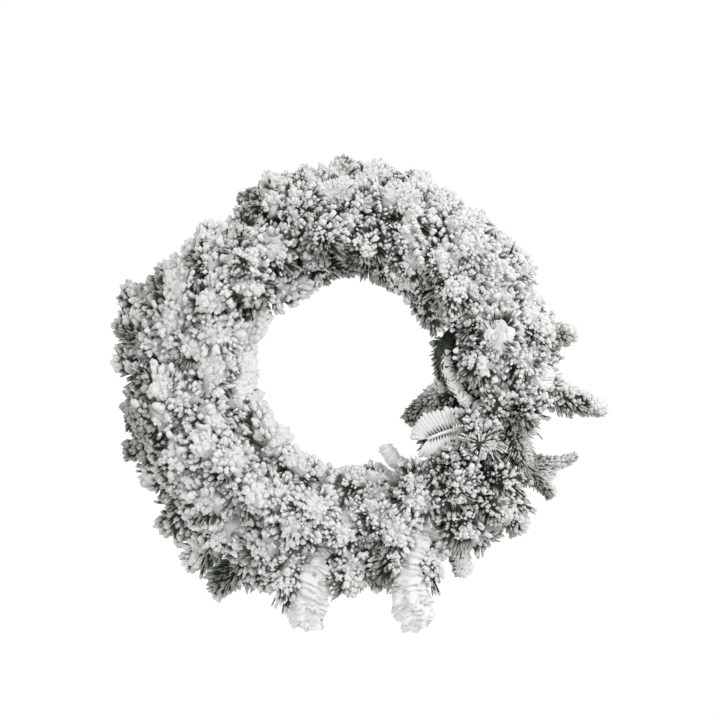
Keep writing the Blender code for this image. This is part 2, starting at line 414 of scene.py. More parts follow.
# %% From arrays to a mesh
def make_piece(name, parts, material):
    """One smooth mesh of several (points, triangles, uv) parts, with uv in its bake map."""
    offsets = np.cumsum([0] + [len(points) for points, _, _ in parts[:-1]])
    points = np.concatenate([points for points, _, _ in parts])
    triangles = np.concatenate([tris + start for (_, tris, _), start in zip(parts, offsets)])
    uv = np.concatenate([uv for _, _, uv in parts])
    mesh = bpy.data.meshes.new(name)
    mesh.vertices.add(len(points))
    mesh.vertices.foreach_set("co", points.astype(np.float32).ravel())
    mesh.loops.add(triangles.size)
    mesh.loops.foreach_set("vertex_index", triangles.astype(np.int32).ravel())
    mesh.polygons.add(len(triangles))
    mesh.polygons.foreach_set("loop_start", np.arange(0, triangles.size, 3, dtype=np.int32))
    layer = mesh.uv_layers.new(name=BAKE_MAP)
    layer.data.foreach_set("uv", uv[triangles.ravel()].astype(np.float32).ravel())
    mesh.update(calc_edges=True)
    mesh.shade_smooth()
    mesh.materials.append(material)
    piece = bpy.data.objects.new(name, mesh)
    bpy.context.scene.collection.objects.link(piece)
    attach(piece, "root")
    return piece


# %% [markdown]
# ## Where the needles grow
#
# Needles stand round a stem in a spiral, a golden angle on from each to the next, which
# spreads them evenly whatever their number. Two numbers say where a needle stands: its
# place, which runs from 0 to 1 up the stem and on to 2 over the dome at its end, and its
# angle round the stem. Needles lean towards the tip's end, more and more.

# %% Frames along a stem
GOLDEN = math.pi * (3 - math.sqrt(5))
NEEDLE_LEAN = 66 * DEG
END_LEAN = 38 * DEG
FIRST_NEEDLE = 8 * MM
PARTED = 6 * MM
COMB_FIRST = 0.42
FIRST_SIDE = np.array([0.3, 0.5, 0.8])


def carried_frames(points):
    """Two unit vectors across the path and one along it, at each point, without twist."""
    along = unit(np.gradient(points, axis=0))
    side = FIRST_SIDE
    sides = []
    for direction in along:
        side = unit(side - direction * (side @ direction))
        sides.append(side)
    return np.array(sides), np.cross(along, sides), along


def distances(points, others):
    """Distance of each point from the nearest of the others: the root of |p|^2 - 2pq + |q|^2."""
    square = (points**2).sum(1)[:, None] - 2 * points @ others.T + (others**2).sum(1)[None]
    return np.sqrt(np.maximum(square.min(1), 0))


def first_needle(tip, spray, look):
    """How far up its stem a tip has its first needles: past where the tips have parted.

    A comb has them from COMB_FIRST of the stem's length on.
    """
    if look.comb:
        return COMB_FIRST * lengths_along(tip.axis)[-1]
    others = [other.axis for other in spray.tips if other is not tip]
    parted = distances(tip.axis, np.concatenate(others)) > PARTED
    return max(FIRST_NEEDLE, lengths_along(tip.axis)[np.argmax(parted)])


# %% Needles round a tip
CROWN_HOLE = 12 * DEG
FEWEST_ON_DOME = 5
ANGLE_STRAY = 0.12
Lines = namedtuple("Lines", "feet ahead length sine")


def needle_lines(tip, first, place, angle, look):
    """Foot, direction, length and sine of the lean of the needle at each place and angle.

    Up the stem the lean falls from the look's lean to its end lean as 1 - place^2. Over the
    dome it falls on to 0, and a needle's length goes towards the look's crown, in girths. A
    comb has its needles in two rows, to either side and a little towards the viewer.
    """
    run = lengths_along(tip.axis)[-1]
    on_stem = np.minimum(place, 1)
    up = first + on_stem * (run - first)
    frames = carried_frames(tip.axis)
    side, across, along = (unit(at_lengths(tip.axis, up, each)) for each in frames)
    out = np.cos(angle)[:, None] * side + np.sin(angle)[:, None] * across
    if look.comb:
        rows = np.where(np.arange(len(place)) % 2, 1, -1)[:, None]
        out = unit(rows * unit(np.cross(along, BACK)) - look.comb * BACK)
    lean = look.end_lean + (look.lean - look.end_lean) * (1 - on_stem**2)
    lean = lean * np.minimum(2 - place, 1)
    sine = np.sin(lean)
    full = look.long * tip.girth / math.sin(NEEDLE_LEAN) * (1 - tip.taper * on_stem**2)
    short = look.long * look.crown * tip.girth
    dome = short + (full - short) * sine / math.sin(look.end_lean)
    ahead = sine[:, None] * out + np.cos(lean)[:, None] * along
    length = np.where(place > 1, dome, full)
    return Lines(at_lengths(tip.axis, up), ahead, length, np.where(place > 1, 1.0, sine))


def spiral(tip, first, spacing, rng):
    """Places and angles: places even up the stem, then cosines even over the dome."""
    run = lengths_along(tip.axis)[-1] - first
    count = int(2 * math.pi * tip.girth * run / spacing**2)
    reach = tip.girth / math.sin(NEEDLE_LEAN) * (1 - tip.taper)
    low, high = math.cos(END_LEAN), math.cos(CROWN_HOLE)
    dome = max(FEWEST_ON_DOME, int(2 * math.pi * (high - low) * reach**2 / spacing**2))
    cosine = low + (high - low) * (np.arange(dome) + 0.5) / dome
    place = np.concatenate([(np.arange(count) + 0.5) / count, 2 - np.arccos(cosine) / END_LEAN])
    start = rng.uniform(0, 2 * math.pi)
    stray = rng.normal(0, ANGLE_STRAY, len(place))
    return place, start + np.arange(len(place)) * GOLDEN + stray


# %% [markdown]
# Neighbouring tips share out the room between them: a needle runs to where another stem is
# as near as its own. That is a quadratic equation for each needle and each point of the other
# stems, and the first crossing counts. Needles that end near such a border are drawn out to
# it, so that no gap opens between the tips.

# %% Room for each needle
CLEARANCE = 1.5 * MM
RING_CLEARANCE = 3.5 * MM
BRIDGE = 1.15
INNER_BRIDGE = 1.65
RIM_FADE = 18 * MM
OUTER_TURNS = np.arange(0, 360, TIP_STEP)
OUTER_RIM = [reach_of(ROWS[0], turn) for turn in OUTER_TURNS]
INNER_TURNS = np.arange(0, 360, INNER_STEP)
INNER_RIM = [reach_of(ROWS[3], turn) for turn in INNER_TURNS]
SHORTEST = 0.45
NEARBY = 80 * MM


def ring_distances(points):
    """Distance of each point from the ring wire's centre line."""
    away = points - RING_CENTRE
    return np.hypot(np.hypot(away[:, 0], away[:, 2]) - RING_RADIUS, away[:, 1])


def drawn_out(lines, length, limit):
    """Each length cut to its limit, or drawn out to one that is not far beyond it.

    With r the limit over the length, the length is taken r times up to r = b, and from there
    on 2b - r times, but at least once. The bridge b is INNER_BRIDGE for a needle that ends
    between the wreath's rims, where its outer and its inner tips end, and BRIDGE past them.
    """
    ends = lines.feet + length[:, None] * lines.ahead - RING_CENTRE
    away = np.hypot(ends[:, 0], ends[:, 2])
    turn = np.degrees(np.arctan2(ends[:, 2], ends[:, 0])) % 360
    outer = np.interp(turn, OUTER_TURNS, OUTER_RIM, period=360)
    inner = np.interp(turn, INNER_TURNS, INNER_RIM, period=360)
    inside = np.clip(np.minimum(outer - away, away - inner) / RIM_FADE + 1, 0, 1)
    bridge = BRIDGE + (INNER_BRIDGE - BRIDGE) * inside
    ratio = limit / length
    return length * np.minimum(np.maximum(2 * bridge - ratio, 1), ratio)


def room(feet, ahead, sine, near):
    """How far each needle may run before a point of another stem is as near as its own stem.

    At t along the needle its own stem is t s away, where s is the sine of the lean, and a
    point at v from the foot is |v - t a| away. With the clearance c between the two,
    (1 - s^2) t^2 - 2 B t + C = 0, where B = a v + c s and C = v^2 - c^2. The smaller root is
    C / (B + sqrt(B^2 - (1 - s^2) C)).
    """
    v = near[None] - feet[:, None]
    b = (ahead[:, None] * v).sum(2) + CLEARANCE * sine[:, None]
    c = (v**2).sum(2) - CLEARANCE**2
    square = b**2 - (1 - sine[:, None] ** 2) * c
    meets = (b > 0) & (square >= 0)
    run = np.where(meets, c / np.where(meets, b + np.sqrt(np.maximum(square, 0)), 1), NEARBY)
    return run.min(1)


# %% Clumps
CLUMP_SIZE = 6
PULL = (0.1, 0.5)
BORDER = 0.28
CLEFT = 0.16
CLEFT_FROST = 0.22


def clumps(ends, rng):
    """The way from each end to the nearest of a few chosen ends, and how near a border it is.

    With F1 and F2 the distances to the nearest and the second chosen end, the border is
    where (F2 - F1) / (F2 + F1) is 0. It fades out at BORDER.
    """
    chosen = ends[rng.permutation(len(ends))[: max(2, len(ends) // CLUMP_SIZE)]]
    apart = np.sqrt(((ends[:, None] - chosen[None]) ** 2).sum(2))
    two = np.partition(apart, 1, axis=1)[:, :2]
    inside = (two[:, 1] - two[:, 0]) / (two[:, 1] + two[:, 0])
    return chosen[apart.argmin(1)] - ends, np.clip(1 - inside / BORDER, 0, 1)


# %% [markdown]
# ## Where the flock falls
#
# The flock was blown on from the front and above, so it lies thick on what faces that way and
# thin on the undersides and the back. The way it is taken to come from is turned to the right
# as well, towards the key light, so that what faces the light is whiter and what faces away
# greener and greyer: that much of it is painted shade. It also fell unevenly: the left side
# and the bottom left are caked, and the right side shows its needles. A smooth sum of sines
# gives the patches between, and the spots that stand out on the real wreath are listed: each
# has its angle round the ring, its distance from the ring's centre and its size in
# millimetres, and the change it makes. The last three trace the dark band between the top
# rows, where green needles show and the shade in the gap is painted on. A second list of
# spots takes white off the colour only, where the real needles are as thick as their
# neighbours and yet greener, and, on the outer left rim that faces away from the key light,
# as painted shade.

# %% The flock field
# Where the flock came from, turned to the right towards the key light as well: what faces away gets
# less flock and looks greener, partly real and partly painted shade.
BLOWN_AND_LIT_FROM = unit(np.array([0.50, -0.70, 0.52]))
FLOCK_TURNS = (0, 25, 50, 75, 100, 130, 160, 200, 240, 265, 285, 305, 330, 345)
FLOCK_LEVELS = (0.80, 0.97, 1.00, 0.86, 0.86, 0.95, 1.00)
FLOCK_LEVELS += (1.02, 1.00, 0.95, 0.88, 0.78, 0.70, 0.70)
BASE_LOSS = 0.15
FACING_GAIN = 0.38
BACK_LOSS = 0.25
BACK_DEPTH = 40 * MM
PATCH_GAIN = 0.45
PATCH_LENGTH = 55 * MM
PATCH_WAVES = 7
patch_rng = np.random.default_rng(SEED)
PATCH_DIRECTIONS = unit(patch_rng.normal(size=(PATCH_WAVES, 3))) * 2 * math.pi / PATCH_LENGTH
PATCH_PHASES = patch_rng.uniform(0, 2 * math.pi, PATCH_WAVES)
Spot = namedtuple("Spot", "turn away size change")
SPOTS = (
    Spot(90, 124, 30, -0.5),
    Spot(82, 172, 14, -0.5),
    Spot(40, 137, 24, -0.4),
    Spot(13, 119, 30, -0.25),
    Spot(4, 190, 25, 0.55),
    Spot(45, 200, 30, 0.3),
    Spot(25, 209, 28, 0.3),
    Spot(295, 190, 32, 0.4),
    Spot(265, 142, 28, 0.3),
    Spot(339, 268, 20, -0.3),
    Spot(110, 158, 18, -0.3),
    Spot(326, 214, 25, -0.2),
    Spot(279, 245, 16, -0.5),
    Spot(238, 285, 22, -0.7),
    Spot(171, 265, 16, -0.7),
    Spot(168, 131, 30, 0.2),
    # These three trace the dark band between the top rows: green needles show there, and the dark
    # of the gap is painted shade.
    Spot(119, 214, 12, -0.5),
    Spot(100, 202, 16, -0.3),
    Spot(73, 187, 12, -0.4),
)
# The spots on the outer left rim, at 158, 193 and 215 degrees, are painted shade, as that rim faces
# away from the key light; the others are greener needles.
GREENER_AND_SHADED_SPOTS = (
    Spot(193, 275, 50, 0.55),
    Spot(146, 128, 26, 0.4),
    Spot(328, 89, 20, 0.45),
    Spot(308, 158, 22, 0.3),
    Spot(12, 268, 30, 0.4),
    Spot(158, 270, 36, 0.35),
    Spot(215, 290, 35, 0.2),
    Spot(118, 264, 45, 0.55),
    Spot(88, 264, 32, 0.55),
    Spot(72, 264, 32, 0.6),
)


def patches(points):
    """The mean of PATCH_WAVES sines of the points' places, from -1 to 1."""
    return np.sin(points @ PATCH_DIRECTIONS.T + PATCH_PHASES).mean(1)


def spotted(points, spots):
    """The sum over the spots of change times exp(-(distance / size)^2), seen from the front."""
    total = np.zeros(len(points))
    for spot in spots:
        centre = RING_CENTRE + spot.away * MM * outward(spot.turn)
        square = ((points - centre)[:, [0, 2]] ** 2).sum(1)
        total += spot.change * np.exp(-square / (spot.size * MM) ** 2)
    return total


def flock_on(ends, ahead):
    """Flock at each needle's end: its side's level less BASE_LOSS, and more or less by place.

    More by FACING_GAIN times the cosine to the blower, by PATCH_GAIN times the patches and by
    the spots, and less behind the ring, where BACK_LOSS is reached at BACK_DEPTH. The blower's
    way is turned towards the key light, so the facing term is partly real flock and partly
    painted shade.
    """
    away = ends - RING_CENTRE
    turn = np.degrees(np.arctan2(away[:, 2], away[:, 0])) % 360
    level = np.interp(turn, FLOCK_TURNS, FLOCK_LEVELS, period=360)
    back = np.clip(away[:, 1] / BACK_DEPTH, 0, 1)
    # Facing term: real flock fall, and painted shade on what faces away from the key light.
    level = level - BASE_LOSS + FACING_GAIN * (ahead @ BLOWN_AND_LIT_FROM) - BACK_LOSS * back
    return level + PATCH_GAIN * patches(ends) + spotted(ends, SPOTS)


# %% [markdown]
# ## The looks of a tip
#
# Where the flock is thick it bridges the needles and rounds their ends into knobs like
# popcorn, and where it is thin each needle still stands alone with a white end. A shell under
# both stands for what lies between the needles: white where the flock has filled it, green
# where it hasn't. On a few tips the flock has closed over the needles altogether, and only
# the turns of the twisted strip show as grooves round the tip. The fan is a comb: its needles
# stand in two flat rows. Full tips push out over their neighbours, and filling ones are the
# short green tips behind the stems that were bent.
#
# In a look, coarse is the spacing of the knobs and fine that of the needles, and 0 stands for
# none. Long and crown are a needle's length up the stem and at the tip's end, in girths of the
# tip. Swell is how much the flock thickens a coat, over is how far a tip may grow past its own
# room, and flock is added to what fell there. A shell's bare, filled and behind are shares of
# the needle's length.

# %% Looks
LOOK_FIELDS = "coarse fine knob coat swell long lean end_lean crown comb over flock shell"
Look = namedtuple("Look", LOOK_FIELDS)
Shell = namedtuple("Shell", "step sides bare filled behind ridge pitch green white lumps")
INNER_SHELL = Shell(
    step=6 * MM,
    sides=14,
    bare=0.40,
    filled=0.68,
    behind=0.42,
    ridge=0.0,
    pitch=4 * MM,
    green=0.0,
    white=0.54,
    lumps=0.1,
)
PLAIN = Look(
    coarse=6.2 * MM,
    fine=4.5 * MM,
    knob=3.2 * MM,
    coat=0.8 * MM,
    swell=1.5,
    long=1.0,
    lean=NEEDLE_LEAN,
    end_lean=END_LEAN,
    crown=0.69,
    comb=0.0,
    over=1.08,
    flock=0.0,
    shell=INNER_SHELL,
)
CLOSED_SHELL = Shell(
    step=0.95 * MM,
    sides=28,
    bare=0.80,
    filled=0.90,
    behind=0.5,
    ridge=0.16,
    pitch=4.8 * MM,
    green=0.52,
    white=0.98,
    lumps=0.30,
)
CLOSED = PLAIN._replace(coarse=0, fine=0, long=0.85, crown=0.85, over=1.6, flock=0.35)
CLOSED = CLOSED._replace(end_lean=NEEDLE_LEAN, shell=CLOSED_SHELL)
DOTTED = CLOSED._replace(long=1.0, coarse=5.6 * MM, knob=2.2 * MM, over=1.3)
SLIM = CLOSED._replace(long=0.66, shell=CLOSED_SHELL._replace(green=0.75))
SLENDER = CLOSED._replace(long=0.46, flock=0.6, shell=CLOSED_SHELL._replace(ridge=0.2))
BROAD = CLOSED._replace(long=1.3, flock=0.7)
BROAD = BROAD._replace(shell=CLOSED_SHELL._replace(ridge=0.24, pitch=6.8 * MM, green=0.5))
ROPE = CLOSED._replace(long=0.48, flock=0.5)
ROPE = ROPE._replace(shell=CLOSED_SHELL._replace(ridge=0.26, pitch=6 * MM, green=0.75))
ROSE = DOTTED._replace(long=1.15)
RINGED = PLAIN._replace(coarse=0, fine=3.0 * MM, coat=0.6 * MM, long=0.9, over=1.6, flock=0.05)
FAN = PLAIN._replace(coarse=0, fine=16.5 * MM, coat=2.7 * MM, swell=0.25, long=1.3, lean=86 * DEG)
FAN = FAN._replace(end_lean=66 * DEG, crown=0.9, comb=0.15, over=9.0, flock=1.2)
FAN = FAN._replace(shell=INNER_SHELL._replace(bare=0.07, filled=0.07, behind=0.07, white=0.98))
STAR = PLAIN._replace(coarse=0, fine=7.0 * MM, coat=0.55 * MM, over=1.3, flock=0.35)
STAR = STAR._replace(shell=INNER_SHELL._replace(filled=0.4, white=0.40))
BRUSH = PLAIN._replace(coarse=0, fine=3.4 * MM, coat=0.45 * MM)
SPRIG = BRUSH._replace(long=0.62)
SOFT = PLAIN._replace(coarse=4.5 * MM, fine=0, knob=2.2 * MM, flock=0.3)
SOFT = SOFT._replace(shell=INNER_SHELL._replace(filled=0.80, white=0.56))
FULL = PLAIN._replace(long=1.15, over=1.35)
FILLING = PLAIN._replace(long=0.9, flock=-0.3)
LOOK_TIPS = (
    (SOFT, "outer_spray_03", (0, 1, 2)),
    (SOFT, "outer_spray_04", (0, 1, 2)),
    (SOFT, "outer_spray_05", (1,)),
    (SOFT, "shoulder_spray_03", (0,)),
    (SOFT, "shoulder_spray_04", (1,)),
    (FAN, "inner_spray_11", (1,)),
    (SLENDER, "inner_spray_11", (0,)),
    (FILLING, "inner_spray_11", (2,)),
    (ROPE, "inner_spray_01", (0,)),
    (FILLING, "inner_spray_01", (2,)),
    (RINGED, "inner_spray_12", (0,)),
    (ROSE, "face_spray_01", (0,)),
    (STAR, "face_spray_12", (1,)),
    (BRUSH, "shoulder_spray_12", (1,)),
    (SPRIG, "outer_spray_12", (0, 2)),
    (SLIM, "outer_spray_11", (0,)),
    (BROAD, "outer_spray_10", (1,)),
    (BROAD, "outer_spray_11", (1,)),
    (DOTTED, "inner_spray_06", (1,)),
    (DOTTED, "inner_spray_07", (0,)),
    (DOTTED, "shoulder_spray_12", (2,)),
    (DOTTED, "outer_spray_01", (0,)),
    (DOTTED, "outer_spray_02", (0, 2)),
    (FULL, "outer_spray_01", (1,)),
    (FULL, "face_spray_04", (1,)),
    (FULL, "face_spray_05", (1, 2)),
    (FULL, "face_spray_11", (1, 2)),
    (FULL, "face_spray_12", (0,)),
    (FULL, "inner_spray_01", (1,)),
    (FULL, "inner_spray_05", (0, 1)),
    (FULL, "inner_spray_07", (1,)),
    (FULL, "inner_spray_08", (0,)),
    (FULL, "inner_spray_12", (1,)),
)
LOOKS = {(name, number): look for look, name, numbers in LOOK_TIPS for number in numbers}
print(len(LOOKS), "tips have a look of their own")

# %% Knobs and needles
CAKED = 0.58
KNOB_SIDES = 4
KNOB_SPREAD = (0.62, 1.38)
KNOB_LUMPS = (0.82, 1.18)
KNOB_RINGS_U = (0.5, 0.85)
NECK_AT = 2.9
NECK_RADIUS = 0.7
BELLY_AT = 0.8
KNOB_END = 0.15
NEEDLE_SIDES = 4
NEEDLE_LUMPS = (0.85, 1.15)
NEEDLE_RINGS = (0.4, 0.88)
LEAST_V = 0.02
MOST_V = 0.98


def knobs(feet, reach, frost, look, rng):
    """Closed clubs: a neck, a belly, each a lumpy ring, and a round end.

    The belly's radius is the look's knob, times a random share, and it grows with the flock
    and with the patches. It lies BELLY_AT radii short of the needle's end. The neck has
    NECK_RADIUS of that radius and lies NECK_AT radii short of the end.
    """
    count = len(feet)
    flocked = 0.6 + 0.5 * np.clip(frost[:, None], 0.3, 1.3)
    belly = look.knob * rng.uniform(*KNOB_SPREAD, (count, 1)) * flocked
    belly = belly * (1 + 0.5 * patches(3 * (feet + reach)))[:, None]
    length = np.linalg.norm(reach, axis=1, keepdims=True)
    short_of_end = np.concatenate([NECK_AT * belly, BELLY_AT * belly], axis=1)
    shares = np.clip(1 - short_of_end / length, 0.05, 0.99)
    radii = np.concatenate([NECK_RADIUS * belly, belly], axis=1)[:, :, None]
    radii = radii * rng.uniform(*KNOB_LUMPS, (count, 2, KNOB_SIDES))
    points = needle_points(feet, reach, shares, radii, KNOB_END * belly[:, 0])
    return points, KNOB_RINGS_U, needle_triangles(count, 2, KNOB_SIDES)


def fine_needles(feet, reach, frost, look, rng):
    """Closed slim needles: thin at the foot, and as thick as their flock near the end."""
    count = len(feet)
    thin = np.full((count, 1), look.coat)
    coat = thin * (1 + look.swell * np.clip(frost[:, None], 0, 1))
    shares = np.repeat([NEEDLE_RINGS], count, axis=0)
    radii = np.concatenate([thin, coat], axis=1)[:, :, None]
    radii = radii * rng.uniform(*NEEDLE_LUMPS, (count, 2, NEEDLE_SIDES))
    points = needle_points(feet, reach, shares, radii, np.zeros(count))
    return points, NEEDLE_RINGS, needle_triangles(count, 2, NEEDLE_SIDES)


def needle_uv(frost, rings, sides):
    """U from 0 at the foot, over each ring's own, to 1 at the end. V is the needle's flock, painted
    shade included.
    """
    u = np.concatenate([[0], np.repeat(rings, sides), [1]])
    v = np.clip(frost, LEAST_V, MOST_V)
    us = np.repeat(u[None], len(v), axis=0)
    return np.stack([us, np.repeat(v[:, None], len(u), axis=1)], axis=2)


# %% Grow one tip
LENGTHS = (0.86, 1.06)
FROST_STRAY = 0.05
THINNED = 0.5
COMB_U = 0.75


def grow(tip, first, near, look, caked, rng):
    """One of a tip's two growths, knobs or fine needles, as (points, triangles, uv).

    Where a look has both, a knob stays if its flock is over CAKED, a fine needle if it isn't.
    Needles that are cut too short or end at the ring are left out, and so is the share THINNED
    of those that face back. A comb's needles aren't drawn together, and their U is COMB_U or
    more, so that they are white all along.
    """
    place, angle = spiral(tip, first, look.coarse if caked else look.fine, rng)
    lines = needle_lines(tip, first, place, angle, look)
    reach = lines.ahead * (lines.length * rng.uniform(*LENGTHS, len(place)))[:, None]
    pull, border = clumps(lines.feet + reach, rng)
    if not look.comb:
        reach = reach + rng.uniform(*PULL, (len(place), 1)) * pull
    ahead = unit(reach)
    length = np.linalg.norm(reach, axis=1)
    limit = look.over * room(lines.feet, ahead, lines.sine, near)
    length = drawn_out(lines, length, limit) * (1 - CLEFT * border)
    reach = length[:, None] * ahead
    ends = lines.feet + reach
    frost = flock_on(ends, ahead) + look.flock - CLEFT_FROST * border
    frost = frost + rng.normal(0, FROST_STRAY, len(ends))
    stays = length > SHORTEST * min(1, look.long) * tip.girth
    stays &= ring_distances(ends) > WIRE_RADIUS + RING_CLEARANCE
    backward = np.clip(2.5 * ahead @ BACK - 0.5, 0, 1)
    stays &= rng.random(len(ends)) > THINNED * backward
    if look.coarse and look.fine:
        stays &= (frost > CAKED) if caked else (frost <= CAKED)
    shape = knobs if caked else fine_needles
    points, rings, triangles = shape(lines.feet[stays], reach[stays], frost[stays], look, rng)
    # Greener spots take white off the colour, and on the outer left rim they paint shade.
    white = (frost - spotted(ends, GREENER_AND_SHADED_SPOTS))[stays]
    uv = needle_uv(white, rings, KNOB_SIDES if caked else NEEDLE_SIDES)
    if look.comb:
        uv[..., 0] = np.maximum(uv[..., 0], COMB_U)
    return points.reshape(-1, 3), triangles, uv.reshape(-1, 2)


# %% The shell between the needles
ROOT_FADE = 0.35
FILLED_FROM = 0.50
FILLED_OVER = 0.55
ROOT_BARE = 1.2
LOBE = 0.13
WOBBLE = 2.0
ARC = 0.5
BARE_U = 0.25
LEAST_GROOVE = 0.6
BETWEEN_LOBES = 0.7


def groove(turns, angle, ends, facing):
    """How deep a winding groove is at each point, and how deep the broad lobes are.

    The groove is |cos(pi t)|^4, where t counts the turns. It wobbles by the patches and is
    pushed forward, into an arc, on the side that faces the blower. A lobe is cos^2(pi t / 3).
    Where the lobe is 0 the groove has only BETWEEN_LOBES of its depth, and where the patches
    are low only LEAST_GROOVE.
    """
    t = turns + angle / (2 * math.pi) + WOBBLE * patches(2.5 * ends) - ARC * facing
    strength = np.clip(0.9 + 1.2 * patches(4.3 * ends), LEAST_GROOVE, 1)
    lobe = np.cos(math.pi * t / 3) ** 2
    deep = BETWEEN_LOBES + 0.3 * lobe
    return strength * deep * np.abs(np.cos(math.pi * t)) ** 4, lobe


def shell(tip, first, near, look):
    """The needles' own surface, drawn in to the shell's share of their length.

    The share is filled where the flock is thick, bare where it is thin, and behind at the
    back. The groove takes ridge off the share, and its lobes take LOBE. The colour's U goes
    from BARE_U to the shell's white as the flock fills it, less its green in the groove. A
    shell with a groove keeps out of its neighbours' room by the smooth minimum of both
    lengths, (a^-4 + b^-4)^(-1/4).
    """
    made = look.shell
    run = lengths_along(tip.axis)[-1] - first
    over = look.end_lean * tip.girth
    on_stem = np.linspace(0, 1, max(3, round(run / made.step)))
    on_dome = np.linspace(1, 2, max(4, round(over / made.step)) + 1)[1:-1]
    ring_places = np.concatenate([on_stem, on_dome])
    turn = 2 * math.pi * np.arange(made.sides) / made.sides
    place = np.concatenate([[0], np.repeat(ring_places, made.sides), [2]])
    angle = np.concatenate([[0], np.tile(turn, len(ring_places)), [0]])
    lines = needle_lines(tip, first, place, angle, look._replace(comb=0.0))
    limit = look.over * room(lines.feet, lines.ahead, lines.sine, near)
    if made.ridge:
        length = (lines.length**-4 + limit**-4) ** -0.25
    else:
        length = drawn_out(lines, lines.length, limit)
    ends = lines.feet + length[:, None] * lines.ahead
    frost = flock_on(ends, lines.ahead) + look.flock
    if made.ridge:
        frost = frost - ROOT_BARE * np.maximum(1 - place, 0) ** 2
    filled = np.clip((frost - FILLED_FROM) / FILLED_OVER, 0, 1)
    share = made.bare + (made.filled - made.bare) * filled
    share = share + (made.behind - share) * np.clip(1.5 * lines.ahead @ BACK, 0, 1)
    share = share * (1 + made.lumps * patches(3 * ends))
    u = BARE_U + (made.white - BARE_U) * filled
    if made.ridge:
        turns = (np.minimum(place, 1) * run + np.maximum(place - 1, 0) * over) / made.pitch
        cut, lobe = groove(turns, angle, ends, lines.ahead @ BLOWN_AND_LIT_FROM)
        share = share * (1 - made.ridge * cut - LOBE * lobe)
        u = u - made.green * cut
    share = share * np.minimum(1, 0.5 + place / ROOT_FADE)
    share[0] = 0
    points = lines.feet + (share * length)[:, None] * lines.ahead
    # Greener spots take white off the colour, and on the outer left rim they paint shade.
    white = frost - spotted(ends, GREENER_AND_SHADED_SPOTS)
    uv = np.stack([np.clip(u, LEAST_V, MOST_V), np.clip(white, LEAST_V, MOST_V)], axis=1)
    return points, needle_triangles(1, len(ring_places), made.sides), uv


# %% [markdown]
# ## Stems
#
# A stem is two wires twisted together, so its section is two-lobed and turns as it goes. It
# shows at the back, at the hooks and in the gaps.

# %% The twisted stem
STEM_RADIUS = 1.3 * MM
LOBES = 0.3
TWIST_PITCH = 9 * MM
STEM_STEP = 1.6 * MM
STEM_SIDES = 8
BARE_POINTS = 12
CORE_SIDES = 6
CORE_RINGS = 6
CORE_RADIUS = 2.2 * MM
CORE_TAPER = 0.5
STEM_UV = (0.3, 0.12)


def swept(points, radii):
    """Rings of the radii round a path, closed at both ends, as (points, triangles, uv)."""
    rings, sides = radii.shape
    side, across, along = carried_frames(points)
    angle = 2 * math.pi * np.arange(sides) / sides
    spoke = np.cos(angle)[:, None] * side[:, None] + np.sin(angle)[:, None] * across[:, None]
    ring = (points[:, None] + radii[..., None] * spoke).reshape(-1, 3)
    start = points[0] - radii[0].mean() * along[0]
    end = points[-1] + radii[-1].mean() * along[-1]
    made = np.concatenate([start[None], ring, end[None]])
    uv = np.tile(STEM_UV, (len(made), 1))
    return made, needle_triangles(1, rings, sides), uv


def twisted_stem(points):
    """Radius r (1 + LOBES cos 2(angle - turn)), with the turn growing along the stem."""
    run = lengths_along(points)
    up = np.linspace(0, run[-1], max(4, round(run[-1] / STEM_STEP)))
    angle = 2 * math.pi * np.arange(STEM_SIDES) / STEM_SIDES
    turn = 2 * math.pi * up / TWIST_PITCH
    radii = STEM_RADIUS * (1 + LOBES * np.cos(2 * (angle[None] - turn[:, None])))
    return swept(at_lengths(points, up), radii)


def stem_parts(tip, spray, first, look):
    """The bare twisted stem up to the first needles, and the plain core among them.

    A comb has no core: its shell is as slim as one.
    """
    run = lengths_along(tip.axis)
    bare = at_lengths(tip.axis, np.linspace(0, first, BARE_POINTS))
    if tip is spray.tips[0]:
        bare = np.concatenate([spray.curl, bare])
    if look.comb:
        return [twisted_stem(bare)]
    core = at_lengths(tip.axis, np.linspace(first, run[-1], CORE_RINGS))
    radii = CORE_RADIUS * np.linspace(1.0, CORE_TAPER, CORE_RINGS)[:, None]
    radii = np.repeat(radii, CORE_SIDES, axis=1)
    return [twisted_stem(bare), swept(core, radii)]


# %% Grow every spray
SIZE_TURNS = (0, 90, 130, 180, 230, 260)
SIZES = (0.70, 0.70, 0.82, 0.92, 0.88, 0.72)


def sized_look(spray, number):
    """The tip's look, with its knobs larger on the wreath's left side than on the others."""
    look = LOOKS.get((spray.name, number), PLAIN)
    away = spray.tips[number].axis[-1] - RING_CENTRE
    turn = math.degrees(math.atan2(away[2], away[0])) % 360
    size = np.interp(turn, SIZE_TURNS, SIZES, period=360)
    return look._replace(coarse=look.coarse * size, knob=look.knob * size)


def grow_tip(spray, number, rng):
    """The stem, shell, knobs and needles of one tip."""
    tip = spray.tips[number]
    look = sized_look(spray, number)
    first = first_needle(tip, spray, look)
    others = [other.axis for each in sprays for other in each.tips if other is not tip]
    others = np.concatenate(others)
    near = others[distances(others, tip.axis) < NEARBY]
    parts = stem_parts(tip, spray, first, look) + [shell(tip, first, near, look)]
    if look.coarse:
        parts.append(grow(tip, first, near, look, True, rng))
    if look.fine:
        parts.append(grow(tip, first, near, look, False, rng))
    return parts


def grow_spray(index, spray):
    """A spray's tips in one piece, which stands for its solid."""
    parts = []
    for number in range(len(spray.tips)):
        parts += grow_tip(spray, number, np.random.default_rng([SEED, index, number]))
    piece = make_piece(spray.name + "_needles", parts, frosted)
    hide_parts(spray.name)
    return len(piece.data.polygons)


counts = [grow_spray(index, spray) for index, spray in enumerate(sprays)]
print(sum(counts), "triangles in all, at most", max(counts), "in a spray")

# %% [markdown]
# ## The ring
#
# The ring is drawn wire in a thin coat of green lacquer.


